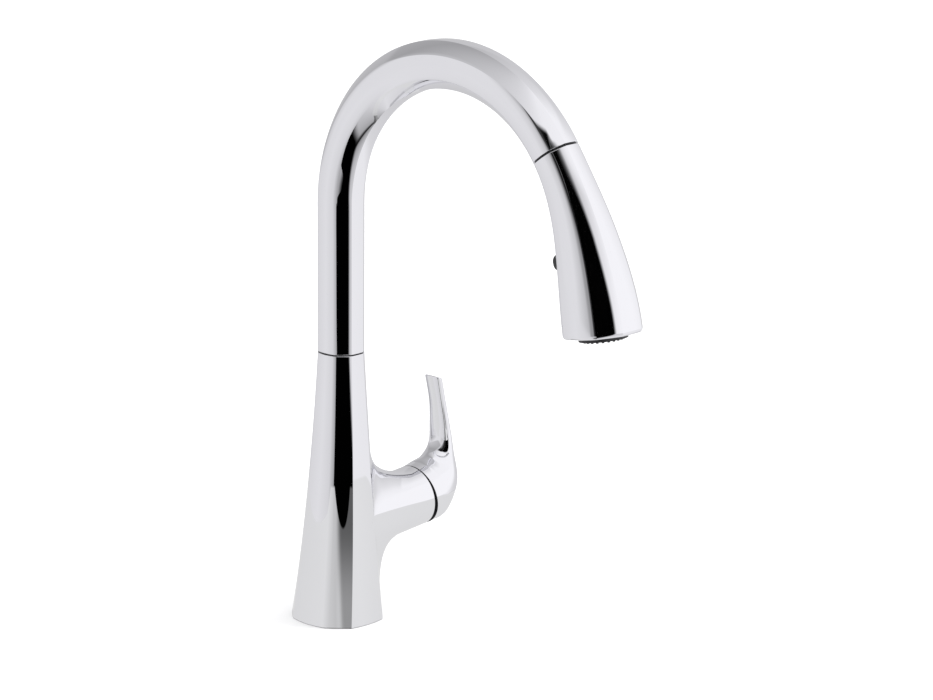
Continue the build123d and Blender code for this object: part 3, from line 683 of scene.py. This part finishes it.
class Graph:
    """Short calls for the number nodes of one node tree."""

    def __init__(self, tree):
        self.nodes, self.links = tree.nodes, tree.links

    def put(self, socket, value):
        if isinstance(value, (int, float)):
            socket.default_value = value
        else:
            self.links.new(value, socket)

    def math(self, operation, a, b=0.0, c=0.0):
        node = self.nodes.new("ShaderNodeMath")
        node.operation = operation
        for socket, value in zip(node.inputs, (a, b, c)):
            self.put(socket, value)
        return node.outputs[0]

    def step(self, value, low, high, start=0.0, end=1.0):
        """Smooth change from start to end as value goes from low to high."""
        node = self.nodes.new("ShaderNodeMapRange")
        node.interpolation_type = "SMOOTHSTEP"
        for socket, number in zip(node.inputs, (value, low, high, start, end)):
            self.put(socket, number)
        return node.outputs[0]

    def mix(self, share, a, b):
        return self.math("MULTIPLY_ADD", share, self.math("SUBTRACT", b, a), a)

    def bearing(self, x, y):
        """Bearing in degrees of a direction: 0 is the sink side."""
        back_x, back_y = self.math("MULTIPLY", x, -1.0), self.math("MULTIPLY", y, -1.0)
        return self.math("DEGREES", self.math("ARCTAN2", back_x, back_y))

    def levels(self, degrees, stops):
        """Grey levels at given angles from -180 to 180, with straight runs between them."""
        node = self.nodes.new("ShaderNodeValToRGB")
        ramp = node.color_ramp
        while len(ramp.elements) > 1:
            ramp.elements.remove(ramp.elements[-1])
        for index, (angle, level) in enumerate(stops):
            place = (angle + 180) / 360
            element = ramp.elements[0] if index == 0 else ramp.elements.new(place)
            element.position = place
            element.color = (*[linear(level)] * 3, 1)
        self.put(node.inputs[0], self.math("DIVIDE", self.math("ADD", degrees, 180.0), 360.0))
        return node.outputs[0]


# Light cards round the object, as levels at bearings: 0 is the sink side, 90 the side away from the lever.
HIGH_CARDS = ((-180, 162), (-140, 180), (-110, 208), (-90, 222), (-65, 246), (0, 248), (40, 244), (60, 240),
              (75, 226), (90, 216), (120, 200), (150, 184), (180, 162))
MIDDLE_CARDS = ((-180, 175), (-150, 190), (-120, 204), (-90, 210), (-70, 228), (-60, 243), (-50, 250),
                (26, 247), (57, 150), (58, 1), (61, 16), (64, 64), (68, 115), (72, 147), (86, 152), (98, 180),
                (110, 206), (122, 225), (150, 224), (165, 205), (180, 190))
LOW_CARDS = ((-180, 215), (-150, 200), (-110, 208), (-75, 218), (-60, 236), (-30, 238), (24, 215), (40, 150),
             (42, 3), (45, 60), (49, 165), (60, 180), (80, 198), (96, 212), (130, 226), (180, 215))
DARK_END = 0.0004
PLAIN_LIGHT = 1.25


def studio_world():
    """Plain light for the camera and matt surfaces; polished ones also see the cards and the dark end."""
    world = bpy.data.worlds.new("studio")
    bpy.context.scene.world = world
    world.use_nodes = True
    g = Graph(world.node_tree)
    g.nodes.clear()
    output = g.nodes.new("ShaderNodeOutputWorld")
    coords = g.nodes.new("ShaderNodeTexCoord")
    split = g.nodes.new("ShaderNodeSeparateXYZ")
    g.links.new(coords.outputs["Generated"], split.inputs[0])
    x, y, z = split.outputs
    bearing = g.bearing(x, y)
    height = g.math("DEGREES", g.math("ARCSINE", z))
    high = g.levels(bearing, HIGH_CARDS)
    middle = g.levels(bearing, MIDDLE_CARDS)
    low = g.levels(bearing, LOW_CARDS)
    # shade under the top card's left part
    under_span = g.math("MULTIPLY", g.step(bearing, 58, 62), g.step(bearing, 96, 88))
    under = g.math("MULTIPLY", g.step(height, 16, 30), under_span)
    middle = g.math("MULTIPLY", middle, g.math("SUBTRACT", 1.0, g.math("MULTIPLY", under, 0.86)))
    # the top card's lower edge comes down at the back, and is raised over the shade
    edge = g.math("SUBTRACT", 41.0, g.math("MULTIPLY", g.step(g.math("ABSOLUTE", bearing), 100, 155), 22.0))
    notch = g.math("MULTIPLY", g.step(bearing, 52, 58), g.step(bearing, 104, 70))
    edge = g.math("ADD", edge, g.math("MULTIPLY", notch, 5.0))
    light = g.mix(g.step(g.math("SUBTRACT", height, edge), -2.5, 2.5), middle, high)
    light = g.mix(g.step(height, -6, -10), light, low)
    # the dark end of the room, round at its right-hand side
    across = g.math("DIVIDE", g.math("MINIMUM", g.math("SUBTRACT", bearing, 50.0), 0.0), 20.0)
    upright = g.math("DIVIDE", g.math("ADD", height, 5.0), g.step(height, -7, -3, 52.0, 45.0))
    reach = g.math("ADD", g.math("MULTIPLY", across, across), g.math("MULTIPLY", upright, upright))
    left = g.math("ADD", g.step(height, -11, -15, 57.5, 49.0), g.step(height, -28, -48, 0.0, 30.0))
    left = g.math("SUBTRACT", left, g.step(height, -17, -23, 0.0, 5.0))
    inside = g.math("MULTIPLY", g.step(reach, 1.14, 0.86), g.math("LESS_THAN", bearing, left))
    light = g.mix(inside, light, DARK_END)
    combine = g.nodes.new("ShaderNodeCombineColor")
    g.links.new(g.math("MULTIPLY", light, 0.985), combine.inputs[0])
    g.links.new(g.math("MULTIPLY", light, 0.98), combine.inputs[1])
    g.links.new(light, combine.inputs[2])
    cards = g.nodes.new("ShaderNodeBackground")
    g.links.new(combine.outputs[0], cards.inputs[0])
    plain = g.nodes.new("ShaderNodeBackground")
    plain.inputs[0].default_value = (1, 1, 1, 1)
    plain.inputs[1].default_value = PLAIN_LIGHT
    path = g.nodes.new("ShaderNodeLightPath")
    mixer = g.nodes.new("ShaderNodeMixShader")
    g.links.new(path.outputs["Is Glossy Ray"], mixer.inputs[0])
    g.links.new(plain.outputs[0], mixer.inputs[1])
    g.links.new(cards.outputs[0], mixer.inputs[2])
    g.links.new(mixer.outputs[0], output.inputs[0])


def stage_mesh(name, verts, faces, mat):
    mesh = bpy.data.meshes.new(name)
    mesh.from_pydata(verts, [], faces)
    mesh.materials.append(mat)
    obj = bpy.data.objects.new(name, mesh)
    bpy.context.scene.collection.objects.link(obj)
    return obj


def floor():
    """Pale matt floor for the contact shadow; polished surfaces don't see it."""
    mat = bpy.data.materials.new("floor")
    mat.use_nodes = True
    shader = mat.node_tree.nodes["Principled BSDF"]
    shader.inputs["Base Color"].default_value = (0.93, 0.93, 0.935, 1)
    shader.inputs["Roughness"].default_value = 0.9
    shader.inputs["Specular IOR Level"].default_value = 0.0
    plane = stage_mesh("floor", [(-9, -9, 0), (9, -9, 0), (9, 9, 0), (-9, 9, 0)], [(0, 1, 2, 3)], mat)
    plane.visible_glossy = False


FLOOR_CARDS = ((-180, 215), (-90, 218), (-20, 226), (20, 222), (24, 120), (46, 120), (50, 190), (58, 205),
               (90, 222), (180, 215))


def floor_glow():
    """Light that the floor near the base throws into it: a low ring that only polished surfaces see."""
    radius, low, high, count = 0.105, -0.025, 0.090, 96
    mat = bpy.data.materials.new("floor_glow")
    mat.use_nodes = True
    g = Graph(mat.node_tree)
    g.nodes.clear()
    output = g.nodes.new("ShaderNodeOutputMaterial")
    coords = g.nodes.new("ShaderNodeTexCoord")
    split = g.nodes.new("ShaderNodeSeparateXYZ")
    g.links.new(coords.outputs["Object"], split.inputs[0])
    x, y, z = split.outputs
    bearing = g.bearing(x, y)
    bright = g.levels(bearing, FLOOR_CARDS)
    fall = g.step(z, 0.0, 0.060, 1.6, 0.55)
    near = g.math("MULTIPLY", g.step(bearing, 18, 24), g.step(bearing, 52, 46))
    glow = g.math("MULTIPLY", bright, g.mix(near, 1.0, fall))
    emission = g.nodes.new("ShaderNodeEmission")
    g.links.new(glow, emission.inputs[0])
    # the top edge dips in the middle of each face of the body
    dark = g.math("DIVIDE", g.math("ABSOLUTE", g.math("SUBTRACT", bearing, 43.5)), 9.5)
    bright_face = g.math("DIVIDE", g.math("ABSOLUTE", g.math("SUBTRACT", bearing, 122.0)), 42.0)
    away = g.math("MINIMUM", g.math("MINIMUM", dark, bright_face), 1.0)
    lift = g.math("MULTIPLY", g.math("MULTIPLY", away, away), g.step(bearing, -62, -40, 0.45, 1.0))
    top = g.math("MULTIPLY_ADD", lift, 0.028, 0.055)
    clear = g.nodes.new("ShaderNodeBsdfTransparent")
    mixer = g.nodes.new("ShaderNodeMixShader")
    g.links.new(g.step(g.math("SUBTRACT", z, top), -0.0012, 0.0012), mixer.inputs[0])
    g.links.new(emission.outputs[0], mixer.inputs[1])
    g.links.new(clear.outputs[0], mixer.inputs[2])
    g.links.new(mixer.outputs[0], output.inputs[0])
    verts, faces = [], []
    for k in range(count):
        a = 2 * math.pi * k / count
        verts += [(radius * math.cos(a), radius * math.sin(a), end) for end in (low, high)]
        faces.append((2 * k, 2 * ((k + 1) % count), 2 * ((k + 1) % count) + 1, 2 * k + 1))
    wall = stage_mesh("floor_glow", verts, faces, mat)
    for ray in ("visible_camera", "visible_diffuse", "visible_shadow", "visible_transmission"):
        setattr(wall, ray, False)


def key_light():
    """Soft lamp that gives the contact shadow; polished surfaces don't see it."""
    data = bpy.data.lights.new("key", "AREA")
    data.size = 1.2
    data.energy = 22.0
    lamp = bpy.data.objects.new("key", data)
    bpy.context.scene.collection.objects.link(lamp)
    lamp.location = (1.3, -1.0, 1.9)
    lamp.rotation_euler = (Vector((0, 0, 0.1)) - lamp.location).to_track_quat("-Z", "Y").to_euler()
    lamp.visible_glossy = False


studio_world()
floor()
floor_glow()
key_light()
bpy.context.scene.view_settings.view_transform = "Standard"

# ------------------------------------------------------------------ camera
AZIMUTH, ELEVATION, ROLL = math.radians(-46.0), math.radians(14.607), math.radians(0.439)
RIGHT = Vector((math.cos(AZIMUTH), math.sin(AZIMUTH), 0))
LEVEL = math.cos(ELEVATION)
BACK = Vector((math.sin(AZIMUTH) * LEVEL, -math.cos(AZIMUTH) * LEVEL, math.sin(ELEVATION)))
UP = BACK.cross(RIGHT)
AIM_ASIDE, AIM_HEIGHT, DISTANCE = 0.082692, 0.184893, 2.7
SENSOR_WIDTH, LENS = 36.0, 157.989839
TARGET = RIGHT * AIM_ASIDE + Vector((0, 0, AIM_HEIGHT))
PLACE = TARGET + BACK * DISTANCE
camera_data = bpy.data.cameras.new("camera")
camera_data.sensor_width = SENSOR_WIDTH
camera_data.lens = LENS
camera = bpy.data.objects.new("camera", camera_data)
bpy.context.scene.collection.objects.link(camera)
x_axis = RIGHT * math.cos(ROLL) + UP * math.sin(ROLL)
y_axis = -RIGHT * math.sin(ROLL) + UP * math.cos(ROLL)
camera.matrix_world = Matrix((
    (x_axis.x, y_axis.x, BACK.x, PLACE.x),
    (x_axis.y, y_axis.y, BACK.y, PLACE.y),
    (x_axis.z, y_axis.z, BACK.z, PLACE.z),
    (0, 0, 0, 1)))
bpy.context.scene.camera = camera
